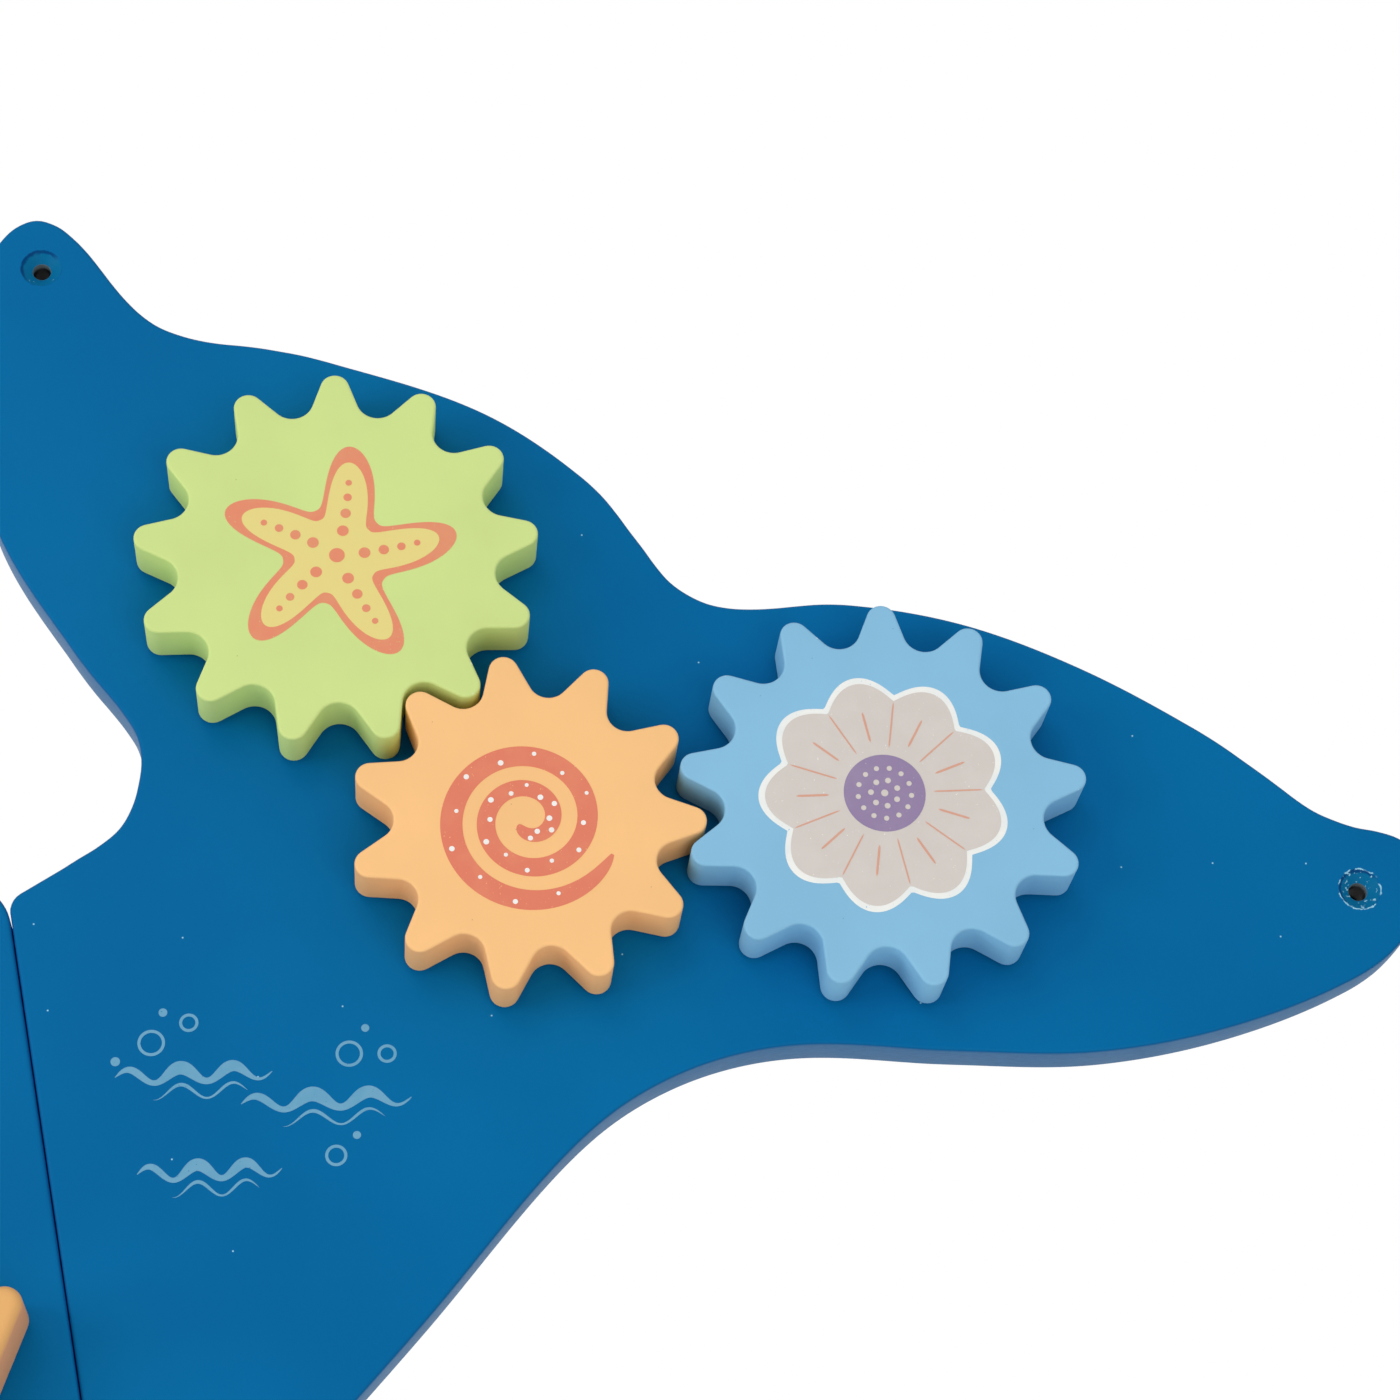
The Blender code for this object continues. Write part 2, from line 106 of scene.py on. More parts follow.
# Holes in the boards and gears
WALL_HOLE_RADIUS = 0.0029
WALL_SINK_RADIUS = 0.0066
WALL_SINK_DEPTH = 0.0029
WALL_HOLE_BURR = 0.0004
# How far behind the countersinks' bottom the rims' wear and painted shade fade out, and the bores' painted
# shade comes in
WEAR_AND_SHADE_FADE_FROM = 0.0003
WEAR_AND_SHADE_FADE_TO = 0.0020
BORE_SHADE_FROM = 0.0014
BORE_SHADE_TO = 0.0034
TAIL_WALL_HOLES = [(-0.1705, 0.2268), (0.1966, -0.0550), (-0.1880, -0.1660)]
BODY_WALL_HOLES = [(-0.2948, 0.0020), (-0.2948, -0.2180)]
AXLE_BORE_RADIUS = 0.0128
COUNTERBORE_RADIUS = 0.0175
COUNTERBORE_DEPTH = 0.0062
GEAR_BORE_RADIUS = 0.0103
GEAR_BORE_DEPTH = 0.0100
BLOCK_SCREW_HOLE = 0.0023
BLOCK_SCREW_SINK = 0.0045
BLOCK_SCREW_SINK_DEPTH = 0.0035
CUT_OVERRUN = 0.0010
TURNED_STEPS = 64

# Painted shade and wear at the wall-screw holes, as distances from the axis: where a band starts, is full,
# fades and ends. The first band is painted shade on the rims, the second frayed wear
SHADED_ARC_BAND = (0.0060, 0.0066, 0.0070, 0.0074)
FRAYED_BAND = (0.0069, 0.0071, 0.0073, 0.0075)
RAGGEDNESS = 0.0012

# Washers and screws
WASHER_HOLE_RADIUS = 0.0025
WASHER_SOFT = 0.0003
WASHER_SOFT_MIDDLE = 0.3
PAN_SHANK_RADIUS = 0.0022
PAN_HEAD_HEIGHT = 0.0023
PAN_HEAD_WALL = 0.0004
PAN_CROWN_SHARE = 0.45
PAN_DOME_STEPS = 8
BLOCK_SHANK_RADIUS = 0.0020
BLOCK_HEAD_WALL = 0.0003
BLOCK_HEAD_CHAMFER = 0.0002

# Cross recesses: reach, width and depth, and how far they narrow towards their bottom
PAN_CROSS = (0.0050, 0.0011, 0.0015)
BLOCK_CROSS = (0.0046, 0.0010, 0.0014)
CROSS_TAPER = 0.7

# Prints
INK = 0.00005
PRINT_STEPS = 240
STROKE_LEAST = 0.02
WAVE_HEIGHT = 0.0022
WAVE_CRESTS = 3
WAVE_FULLNESS = 0.034
WAVE_TILT = math.radians(-8)
WAVE_TIP = 0.004
WAVE_TAPER = 0.6
WAVE_SWELL = 0.35
WAVE_STEPS = 110
FINE_LINE = 0.00045
FINE_LINE_DROP = 0.0052

# The sea star's dots on each arm: distance from the middle, radius and turn
STAR_DOTS = [
    (0.0085, 0.0018, 0.0),
    (0.0145, 0.0016, 0.03),
    (0.0200, 0.0013, 0.05),
    (0.0250, 0.0010, 0.07),
]

# The flower's rings of seeds: how many, distance from the middle and radius
FLOWER_SEEDS = [
    (7, 0.0042, 0.0009),
    (13, 0.0082, 0.0008),
]

# The board's waves with their lengths, and its bubbles with their radii, each at an (x, z)
WAVES = [
    ((-0.1640, -0.0490), 0.0460),
    ((-0.1270, -0.0640), 0.0500),
    ((-0.1640, -0.0790), 0.0420),
]
BUBBLE_RINGS = [
    ((-0.1748, -0.0372), 0.0036),
    ((-0.1630, -0.0330), 0.0024),
    ((-0.1180, -0.0510), 0.0036),
    ((-0.1070, -0.0530), 0.0024),
    ((-0.1270, -0.0810), 0.0028),
]
BUBBLE_DOTS = [
    ((-0.1700, -0.0285), 0.0013),
    ((-0.1120, -0.0440), 0.0012),
    ((-0.1200, -0.0760), 0.0012),
    ((-0.1860, -0.0410), 0.0014),
]

# How far the specks of the paint are shifted, which keeps them off the prints' tips
SPECK_SHIFT = (0.004, 0.0, 0.0)

# Colours as they look on a screen, 0 to 255
BOARD_BLUE = (2, 106, 162)
BOARD_BLUE_DEEP = (1, 99, 155)
# Painted shade: the rounded front rims are painted darker than the faces
BOARD_RIM_SHADE = (6, 92, 146)
BOARD_EDGE = (26, 104, 156)
BOARD_EDGE_DARK = (16, 94, 146)
# Painted shade on the upper left of the countersinks' rims
SHADE_NAVY = (0, 68, 122)
SEAM_BLUE = (14, 98, 176)
SEAM_BLUE_DARK = (8, 84, 156)
SINK_TEAL = (6, 106, 152)
BORE_FRONT = (112, 124, 128)
# Painted shade deep in the wall-screw bores
BORE_SHADE = (8, 12, 18)
PRIMER = (150, 205, 228)
# Each gear's paint on its faces and on its walls; the walls' copy is a little brighter and more saturated,
# painted light for the light the walls catch
GEAR_PAINTS = {
    "green": ((206, 225, 143), (204, 230, 142)),
    "orange": ((250, 197, 135), (255, 194, 132)),
    "blue": ((136, 190, 223), (132, 190, 226)),
}
BLOCK_PAINT = ((230, 175, 110), (236, 170, 122))
BEECH = (222, 186, 142)
BEECH_RING = (196, 152, 108)
BEECH_FLECK = (160, 116, 78)
NYLON = (228, 226, 218)
NYLON_DULL = (220, 216, 206)
ZINC = (188, 190, 192)
ZINC_DULL = (170, 170, 164)
FLOOR_PAPER = (240, 240, 238)
SALMON = (226, 138, 106)
SALMON_DEEP = (222, 124, 98)
SALMON_PALE = (214, 160, 138)
YELLOW = (229, 211, 132)
BEIGE = (209, 201, 195)
WHITE = (240, 240, 236)
PURPLE = (146, 127, 164)
PALE_BLUE = (106, 162, 193)


def linear(colour):
    """Linear red, green, blue and alpha of a screen colour."""
    return (*(((c / 255 + 0.055) / 1.055) ** 2.4 for c in colour), 1.0)


def unit(angle):
    """Flat direction at an angle from +X, counterclockwise."""
    return Vector((math.cos(angle), math.sin(angle)))


def finished(name, bm, body, material):
    """Object from a finished bmesh, shaded smooth except at sharp edges, riding on a body."""
    bmesh.ops.recalc_face_normals(bm, faces=bm.faces)
    mesh = bpy.data.meshes.new(name)
    bm.to_mesh(mesh)
    bm.free()
    mesh.shade_smooth()
    mesh.set_sharp_from_angle(angle=SHARP_EDGE)
    mesh.materials.append(material)
    piece = bpy.data.objects.new(name, mesh)
    bpy.context.scene.collection.objects.link(piece)
    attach(piece, body)
    return piece


def cut(piece, cutters):
    """Takes the cutters out of a piece for good, and removes them."""
    for guide in cutters:
        boolean = piece.modifiers.new(guide.name, "BOOLEAN")
        boolean.operation = "DIFFERENCE"
        boolean.solver = "EXACT"
        boolean.object = guide
    bpy.context.view_layer.update()
    evaluated = piece.evaluated_get(bpy.context.evaluated_depsgraph_get())
    mesh = bpy.data.meshes.new_from_object(evaluated)
    piece.modifiers.clear()
    piece.data = mesh
    mesh.shade_smooth()
    mesh.set_sharp_from_angle(angle=SHARP_EDGE)
    for guide in cutters:
        bpy.data.objects.remove(guide, do_unlink=True)


# Outlines

def ring_at(node, level):
    """Corners of a CAD plate's outline at one height, counterclockwise as seen from the front."""
    bm = bmesh.new()
    bm.from_mesh(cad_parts[node].data)
    bmesh.ops.remove_doubles(bm, verts=bm.verts, dist=SAME_PLACE)
    links = {}
    for edge in bm.edges:
        if all(abs(v.co.y - level) < LEVEL_TOLERANCE for v in edge.verts):
            a, b = edge.verts
            links.setdefault(a, []).append(b)
            links.setdefault(b, []).append(a)
    start = min(links, key=lambda v: v.co.x)
    ring = [start]
    before, here = start, links[start][0]
    while here is not start:
        ring.append(here)
        before, here = here, next(v for v in links[here] if v is not before)
    corners = [Vector((v.co.x, v.co.z)) for v in ring]
    bm.free()
    area = sum(a.cross(b) for a, b in zip(corners, corners[1:] + corners[:1]))
    return corners if area > 0 else corners[::-1]


def smoothed(corners, straight_from, spacing):
    """Smooth closed curve through the corners. A longer stretch than straight_from stays straight."""
    count = len(corners)
    chords = [corners[(k + 1) % count] - corners[k] for k in range(count)]
    directions = []
    for before, after in zip(chords[-1:] + chords[:-1], chords):
        if after.length > straight_from:
            directions.append(after.normalized())
        elif before.length > straight_from:
            directions.append(before.normalized())
        else:
            blend = before.normalized() * after.length + after.normalized() * before.length
            directions.append(blend.normalized())
    points = []
    for k, chord in enumerate(chords):
        reach = chord.length / 3
        ahead = (k + 1) % count
        handle_1 = corners[k] + directions[k] * reach
        handle_2 = corners[ahead] - directions[ahead] * reach
        pieces = max(1, round(chord.length / spacing))
        curve = interpolate_bezier(corners[k], handle_1, handle_2, corners[ahead], pieces + 1)
        points.extend(curve[:-1])
    return [Vector(p[:2]) for p in points]


def moved_in(outline, inset):
    """The outline moved inward, square to itself."""
    moved = []
    for before, point, after in zip(outline[-1:] + outline[:-1], outline, outline[1:] + outline[:1]):
        back = (point - before).normalized()
        ahead = (after - point).normalized()
        along = (back + ahead).normalized()
        moved.append(point + Vector((-along.y, along.x)) * inset / along.dot(ahead))
    return moved


def rounded_plate(name, outline, back, front, radius, body, material):
    """Closed plate between two heights, with both rims rounded."""
    quarter = [math.pi / 2 * k / ROUND_STEPS for k in range(ROUND_STEPS + 1)]
    rim = [(radius + RIM_LIP, 0.0)]
    rim += [(radius * (1 - math.sin(turn)), radius * (1 - math.cos(turn))) for turn in quarter]
    profile = [(inset, back - depth) for inset, depth in rim]
    profile += [(inset, front + depth) for inset, depth in reversed(rim)]
    bm = bmesh.new()
    rings = []
    for inset, height in profile:
        rings.append([bm.verts.new((p.x, height, p.y)) for p in moved_in(outline, inset)])
    for lower, upper in zip(rings, rings[1:]):
        for k in range(len(lower)):
            ahead = (k + 1) % len(lower)
            bm.faces.new((lower[k], lower[ahead], upper[ahead], upper[k]))
    bm.faces.new(rings[0])
    bm.faces.new(rings[-1])
    return finished(name, bm, body, material)


def turned_mesh(profile, centre, closed=False):
    """Round bmesh: a profile of (radius, height) turned about an axis along Y through the centre."""
    bm = bmesh.new()
    x, z = centre
    verts = [bm.verts.new((x + radius, height, z)) for radius, height in profile]
    edges = [bm.edges.new(pair) for pair in zip(verts, verts[1:])]
    if closed:
        edges.append(bm.edges.new((verts[-1], verts[0])))
    bmesh.ops.spin(bm, geom=verts + edges, cent=(x, 0, z), axis=(0, 1, 0), angle=math.tau,
                   steps=TURNED_STEPS, use_merge=True)
    bmesh.ops.remove_doubles(bm, verts=bm.verts, dist=SAME_PLACE)
    bmesh.ops.recalc_face_normals(bm, faces=bm.faces)
    return bm


def cutter(name, bm):
    """Guide body for a cut, removed once it has been used."""
    mesh = bpy.data.meshes.new(name)
    bm.to_mesh(mesh)
    bm.free()
    guide = bpy.data.objects.new(name, mesh)
    bpy.context.scene.collection.objects.link(guide)
    return guide


def axis_of(node):
    """Where a round node's axis stands, in (x, z)."""
    low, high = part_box(node)
    middle = (low + high) / 2
    return middle.x, middle.z


# Materials

class Finish:
    """A material under construction. Its patterns lie in the piece's rest coordinates and turn with it."""

    def __init__(self, name, roughness, specular=0.5, metallic=0.0):
        self.material = bpy.data.materials.new(name)
        self.material.use_nodes = True
        self.tree = self.material.node_tree
        self.shader = self.tree.nodes["Principled BSDF"]
        self.shader.inputs["Roughness"].default_value = roughness
        self.shader.inputs["Specular IOR Level"].default_value = specular
        self.shader.inputs["Metallic"].default_value = metallic
        coordinates = self.tree.nodes.new("ShaderNodeTexCoord")
        self.place = coordinates.outputs["Object"]
        self.normal = coordinates.outputs["Normal"]
        self.facing = self.math("ABSOLUTE", self.node("SeparateXYZ", {0: self.normal}).outputs["Y"])

    def node(self, kind, inputs, **settings):
        """New node with its settings and with its inputs, each a value or another node's output."""
        made = self.tree.nodes.new(f"ShaderNode{kind}")
        for key, value in settings.items():
            setattr(made, key, value)
        for socket, value in inputs.items():
            if isinstance(value, bpy.types.NodeSocket):
                self.tree.links.new(value, made.inputs[socket])
            else:
                made.inputs[socket].default_value = value
        return made

    def math(self, operation, first, second=0.0):
        """Sum, product or the like of two values, each a number or another node's output."""
        return self.node("Math", {0: first, 1: second}, operation=operation).outputs[0]

    def rise(self, value, low, high):
        """0 to 1, smoothly, as the value goes from low to high."""
        inputs = {"Value": value, "From Min": low, "From Max": high}
        return self.node("MapRange", inputs, interpolation_type="SMOOTHSTEP").outputs["Result"]

    def band(self, value, start, full, fading, end):
        """1 from full to fading, and 0 below start and above end."""
        return self.math("MULTIPLY", self.rise(value, start, full), self.rise(value, end, fading))

    def noise(self, scale, detail=2.0, stretch=(1.0, 1.0, 1.0)):
        """Noise with a scale per metre, drawn out by the stretch."""
        place = self.node("Mapping", {"Vector": self.place, "Scale": stretch}).outputs[0]
        inputs = {"Vector": place, "Scale": scale, "Detail": detail}
        return self.node("TexNoise", inputs).outputs["Fac"]

    def mix(self, share, first, second):
        """Colour between two, each a screen colour or another node's output."""
        made = self.node("Mix", {0: share}, data_type="RGBA")
        for socket, colour in ((6, first), (7, second)):
            if isinstance(colour, bpy.types.NodeSocket):
                self.tree.links.new(colour, made.inputs[socket])
            else:
                made.inputs[socket].default_value = linear(colour)
        return made.outputs[2]

    def specks(self, scale, share, size):
        """Mask of small dots on the faces, in a share of the cells of a grid."""
        upright = (math.pi / 2, 0.0, 0.0)
        turned = {"Vector": self.place, "Rotation": upright, "Location": SPECK_SHIFT}
        inputs = {"Vector": self.node("Mapping", turned).outputs[0], "Scale": scale, "Randomness": 1.0}
        cells = self.node("TexVoronoi", inputs, voronoi_dimensions="2D")
        chosen = self.node("SeparateXYZ", {0: cells.outputs["Color"]}).outputs["X"]
        inside = self.rise(cells.outputs["Distance"], size * scale, 0.5 * size * scale)
        inside = self.math("MULTIPLY", inside, self.rise(self.facing, 0.90, 0.95))
        return self.math("MULTIPLY", inside, self.math("LESS_THAN", chosen, share))

    def colour(self, output):
        """The paint's colour from a node's output."""
        self.tree.links.new(output, self.shader.inputs["Base Color"])

    def roughness(self, output, low, high):
        """Roughness that goes from low to high with a node's output."""
        inputs = {"Value": output, "To Min": low, "To Max": high}
        made = self.node("MapRange", inputs)
        self.tree.links.new(made.outputs["Result"], self.shader.inputs["Roughness"])

    def bump(self, height, depth):
        """Fine relief of a depth in metres from a node's output."""
        made = self.node("Bump", {"Strength": 1.0, "Distance": depth, "Height": height})
        self.tree.links.new(made.outputs["Normal"], self.shader.inputs["Normal"])


def hole_distance(finish, holes):
    """Distance from the nearest wall-screw hole's axis, across the board."""
    across = finish.node("Mapping", {"Vector": finish.place, "Scale": (1.0, 0.0, 1.0)}).outputs[0]
    nearest = None
    for x, z in holes:
        inputs = {0: across, 1: (x, 0.0, z)}
        distance = finish.node("VectorMath", inputs, operation="DISTANCE").outputs["Value"]
        nearest = distance if nearest is None else finish.math("MINIMUM", nearest, distance)
    return nearest


def hole_wear_and_shade(finish, paint, place, holes):
    """Paint frayed at the countersinks' rims in front, painted shade on the rims' upper left, and bores that
    painted shade darkens with their depth.
    """
    hole = hole_distance(finish, holes)
    bore_front = BOARD_FRONT + WALL_SINK_DEPTH
    front = finish.rise(place.outputs["Y"], bore_front + WEAR_AND_SHADE_FADE_TO, bore_front + WEAR_AND_SHADE_FADE_FROM)
    cone = finish.math("MULTIPLY", front, finish.rise(hole, WALL_SINK_RADIUS, 0.92 * WALL_SINK_RADIUS))
    paint = finish.mix(cone, paint, SINK_TEAL)

    # Painted shade: the upper left of each rim, where the cone turns down and to the right, is painted dark
    ragged = finish.noise(900, detail=3)
    edge = finish.math("ADD", hole, finish.math("MULTIPLY", ragged, RAGGEDNESS))
    band = finish.math("MULTIPLY", front, finish.band(edge, *SHADED_ARC_BAND))
    lower_right = {0: finish.normal, 1: (0.5, 0.0, -0.85)}
    tilt = finish.node("VectorMath", lower_right, operation="DOT_PRODUCT")
    shaded_arc = finish.math("MULTIPLY", band, finish.rise(tilt.outputs["Value"], -0.15, 0.2))
    paint = finish.mix(shaded_arc, paint, SHADE_NAVY)

    # The holes on the right are frayed down to pale primer
    frayed = finish.math("MULTIPLY", front, finish.rise(place.outputs["X"], -0.05, 0.05))
    lip = finish.band(edge, *FRAYED_BAND)
    lip = finish.math("MULTIPLY", lip, finish.rise(finish.noise(330, detail=1), 0.42, 0.52))
    flecks = finish.math("MULTIPLY", cone, finish.rise(ragged, 0.60, 0.68))
    worn = finish.math("MULTIPLY", finish.math("MAXIMUM", lip, flecks), frayed)
    crumbs = finish.math("MULTIPLY", cone, finish.rise(ragged, 0.72, 0.76))
    paint = finish.mix(finish.math("MAXIMUM", worn, crumbs), paint, PRIMER)

    # The bores are grey in front, and painted shade makes them nearly black further in
    in_hole = finish.rise(hole, WALL_HOLE_RADIUS * 1.02, WALL_HOLE_RADIUS * 1.005)
    depth = finish.rise(place.outputs["Y"], bore_front + BORE_SHADE_FROM, bore_front + BORE_SHADE_TO)
    return finish.mix(in_hole, paint, finish.mix(depth, BORE_FRONT, BORE_SHADE))


def board_finish(name, holes):
    """Satin blue paint on the faces, with painted shade on the rounded rims, and wear and painted shade at
    the holes.
    """
    finish = Finish(name, 0.4, specular=0.03)
    cloud = finish.rise(finish.noise(9, detail=3), 0.3, 0.7)
    paint = finish.mix(cloud, BOARD_BLUE_DEEP, BOARD_BLUE)
    # Painted shade: the rounded rims take a darker blue
    paint = finish.mix(finish.rise(finish.facing, 0.98, 0.6), paint, BOARD_RIM_SHADE)
    paint = finish.mix(finish.specks(scale=70, share=0.09, size=0.00034), paint, PRIMER)
    place = finish.node("SeparateXYZ", {0: finish.place})
    finish.colour(hole_wear_and_shade(finish, paint, place, holes))
    finish.roughness(finish.noise(35, detail=3), 0.34, 0.48)
    finish.bump(finish.noise(700, detail=2), 0.00006)
    return finish.material


def board_fibres(finish):
    """Mask of the board's fibres in its walls, which run along its faces."""
    return finish.rise(finish.noise(420, detail=4, stretch=(1.0, 2.5, 1.0)), 0.35, 0.7)


def edge_finish():
    """The same blue on the routed walls, glossier at a slant, with the board's fibres under it."""
    finish = Finish("board edge paint", 0.5, specular=0.4)
    fibres = board_fibres(finish)
    wall = finish.mix(fibres, BOARD_EDGE, BOARD_EDGE_DARK)
    # Towards the front the walls blend into the rims' painted shade
    finish.colour(finish.mix(finish.rise(finish.facing, 0.15, 0.5), wall, BOARD_RIM_SHADE))
    finish.roughness(finish.noise(60, detail=3), 0.45, 0.6)
    finish.bump(fibres, 0.00003)
    return finish.material


def seam_finish():
    """Dull blue primer on the boards' ends, where they meet."""
    finish = Finish("seam primer", 1.0, specular=0.0)
    fibres = board_fibres(finish)
    finish.colour(finish.mix(fibres, SEAM_BLUE, SEAM_BLUE_DARK))
    finish.bump(fibres, 0.00003)
    return finish.material


def gear_finish(name, face, wall):
    """Matte paint over sanded wood: a hint of grain, small chips on the rims, and the walls in their own
    paint, which on the gears is painted light.
    """
    finish = Finish(name, 0.6, specular=0.1)
    cloud = finish.rise(finish.noise(22, detail=3), 0.3, 0.7)
    deeper = tuple(0.975 * c for c in face)
    colour = finish.mix(cloud, deeper, face)
    # The walls take the second paint, which on the gears is painted light: a brighter, more saturated copy
    # of the face paint
    colour = finish.mix(finish.rise(finish.facing, 0.6, 0.2), colour, wall)
    on_rim = finish.band(finish.facing, 0.25, 0.5, 0.9, 0.99)
    chips = finish.math("MULTIPLY", on_rim, finish.rise(finish.noise(380, detail=3), 0.70, 0.76))
    paler = tuple(255 - 0.35 * (255 - c) for c in face)
    colour = finish.mix(chips, colour, paler)
    dust = finish.specks(scale=110, share=0.06, size=0.00022)
    darker = tuple(0.8 * c for c in face)
    colour = finish.mix(dust, colour, darker)
    finish.colour(colour)
    finish.roughness(finish.noise(60, detail=3), 0.55, 0.7)
    grain = finish.noise(260, detail=4, stretch=(1.0, 1.0, 0.12))
    finish.bump(grain, 0.00008)
    return finish.material


def ink_finish(name, ink, under):
    """Printed ink: even, with small voids where the paint under it shows."""
    finish = Finish(name, 0.5, specular=0.2)
    voids = finish.rise(finish.noise(1500, detail=3), 0.70, 0.76)
    thin = finish.rise(finish.noise(120, detail=3), 0.35, 0.75)
    faded = tuple(0.9 * i + 0.1 * u for i, u in zip(ink, under))
    finish.colour(finish.mix(voids, finish.mix(thin, ink, faded), under))
    finish.roughness(finish.noise(90, detail=2), 0.45, 0.6)
    finish.bump(finish.noise(900, detail=2), 0.00003)
    return finish.material


def wood_finish():
    """Bare beech with short dark flecks along the axle."""
    finish = Finish("beech", 0.6, specular=0.4)
    rings = finish.rise(finish.noise(240, detail=4, stretch=(1.0, 0.08, 1.0)), 0.3, 0.7)
    colour = finish.mix(rings, BEECH, BEECH_RING)
    flecks = finish.rise(finish.noise(900, detail=2, stretch=(1.0, 0.15, 1.0)), 0.66, 0.72)
    finish.colour(finish.mix(flecks, colour, BEECH_FLECK))
    finish.bump(flecks, 0.00004)
    return finish.material


def nylon_finish():
    """Off-white moulded plastic with a fine spark texture."""
    finish = Finish("white nylon", 0.45)
    cloud = finish.rise(finish.noise(150, detail=2), 0.3, 0.7)
    finish.colour(finish.mix(cloud, NYLON, NYLON_DULL))
    finish.bump(finish.noise(2500, detail=2), 0.00002)
    return finish.material


def steel_finish():
    """Zinc plate: grey metal with a faint yellow cast and cloudy gloss."""
    finish = Finish("zinc plated steel", 0.35, metallic=1.0)
    cloud = finish.rise(finish.noise(500, detail=4), 0.3, 0.7)
    finish.colour(finish.mix(cloud, ZINC, ZINC_DULL))
    finish.roughness(finish.noise(900, detail=3), 0.25, 0.5)
    finish.bump(finish.noise(3000, detail=2), 0.00001)
    return finish.material


# Pieces

def wall_hole_cutter(spot):
    """Wall-screw hole, countersunk from the front, with a burr of torn fibres left at the back."""
    slope = (WALL_SINK_RADIUS - WALL_HOLE_RADIUS) / WALL_SINK_DEPTH
    profile = [
        (0.0, BOARD_FRONT - CUT_OVERRUN),
        (WALL_SINK_RADIUS + slope * CUT_OVERRUN, BOARD_FRONT - CUT_OVERRUN),
        (WALL_HOLE_RADIUS, BOARD_FRONT + WALL_SINK_DEPTH),
        (WALL_HOLE_RADIUS, -WALL_HOLE_BURR),
        (WALL_HOLE_RADIUS - WALL_HOLE_BURR, 0.0),
        (WALL_HOLE_RADIUS - WALL_HOLE_BURR, CUT_OVERRUN),
        (0.0, CUT_OVERRUN),
    ]
    return cutter("wall_hole", turned_mesh(profile, spot))


def stepped_cutter(name, spot, narrow, wide, step):
    """Hole right through a board, wider behind, up to the step's height."""
    profile = [
        (0.0, BOARD_FRONT - CUT_OVERRUN),
        (narrow, BOARD_FRONT - CUT_OVERRUN),
        (narrow, step),
        (wide, step),
        (wide, CUT_OVERRUN),
        (0.0, CUT_OVERRUN),
    ]
    return cutter(name, turned_mesh(profile, spot))


def seam_filled(outline):
    """The outline with its edge at the seam moved out by the paint in the gap."""
    filled = []
    for point in outline:
        across = SEAM_MIDDLE - point.x
        share = max(0.0, 1 - abs(across) / SEAM_REACH)
        filled.append(point + Vector((math.copysign(SEAM_PAINT * share, across), 0.0)))
    return filled


def board(node, holes, cutters, edge, seam):
    """Board with fine rounded rims, its wall-screw holes, and the cutters' holes."""
    corners = ring_at(node, BOARD_FRONT + BOARD_ROUND)
    outline = seam_filled(smoothed(corners, BOARD_STRAIGHT_FROM, BOARD_SPACING))
    paint = board_finish(f"{node} paint", holes)
    piece = rounded_plate(f"{node}_painted", outline, 0.0, BOARD_FRONT, BOARD_ROUND, "panel", paint)
    piece.data.materials.append(edge)
    piece.data.materials.append(seam)
    for face in piece.data.polygons:
        if abs(face.center.x - SEAM_MIDDLE) < SEAM_REACH and abs(face.normal.x) > SEAM_FACES_SIDE:
            face.material_index = SEAM_SLOT
        elif abs(face.normal.y) < EDGE_FACES_FRONT:
            face.material_index = EDGE_SLOT
    cut(piece, cutters + [wall_hole_cutter(spot) for spot in holes])
    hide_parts(node)


def gear(colour):
    """Toy gear with soft rims and a blind bore at the back."""
    node = f"{colour}_gear"
    corners = ring_at(node, GEAR_FRONT + GEAR_ROUND)
    outline = smoothed(corners, GEAR_STRAIGHT_FROM, GEAR_SPACING)
    paint = gear_finish(f"{colour} gear paint", *GEAR_PAINTS[colour])
    piece = rounded_plate(f"{node}_painted", outline, GEAR_BACK, GEAR_FRONT, GEAR_ROUND,
                          f"{colour}_wheel", paint)
    profile = [
        (0.0, GEAR_BACK - GEAR_BORE_DEPTH),
        (GEAR_BORE_RADIUS, GEAR_BACK - GEAR_BORE_DEPTH),
        (GEAR_BORE_RADIUS, GEAR_BACK + CUT_OVERRUN),
        (0.0, GEAR_BACK + CUT_OVERRUN),
    ]
    cut(piece, [cutter("gear_bore", turned_mesh(profile, axis_of(f"{colour}_axle")))])
    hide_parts(node)


def orange_block():
    """Three-cornered block with softly rounded rims."""
    low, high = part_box("orange_block")
    corners = ring_at("orange_block", low.y + BLOCK_ROUND)
    outline = smoothed(corners, BOARD_STRAIGHT_FROM, GEAR_SPACING)
    paint = gear_finish("block paint", *BLOCK_PAINT)
    piece = rounded_plate("orange_block_painted", outline, high.y, low.y, BLOCK_ROUND, "panel", paint)
    cutters = []
    for side in ("left", "right"):
        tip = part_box(f"block_screw_{side}")[0].y
        profile = [
            (0.0, tip - RIM_LIP),
            (BLOCK_SCREW_HOLE, tip - RIM_LIP),
            (BLOCK_SCREW_HOLE, high.y + CUT_OVERRUN),
            (0.0, high.y + CUT_OVERRUN),
        ]
        cutters.append(cutter("screw_hole", turned_mesh(profile, axis_of(f"block_screw_{side}"))))
    cut(piece, cutters)
    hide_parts("orange_block")


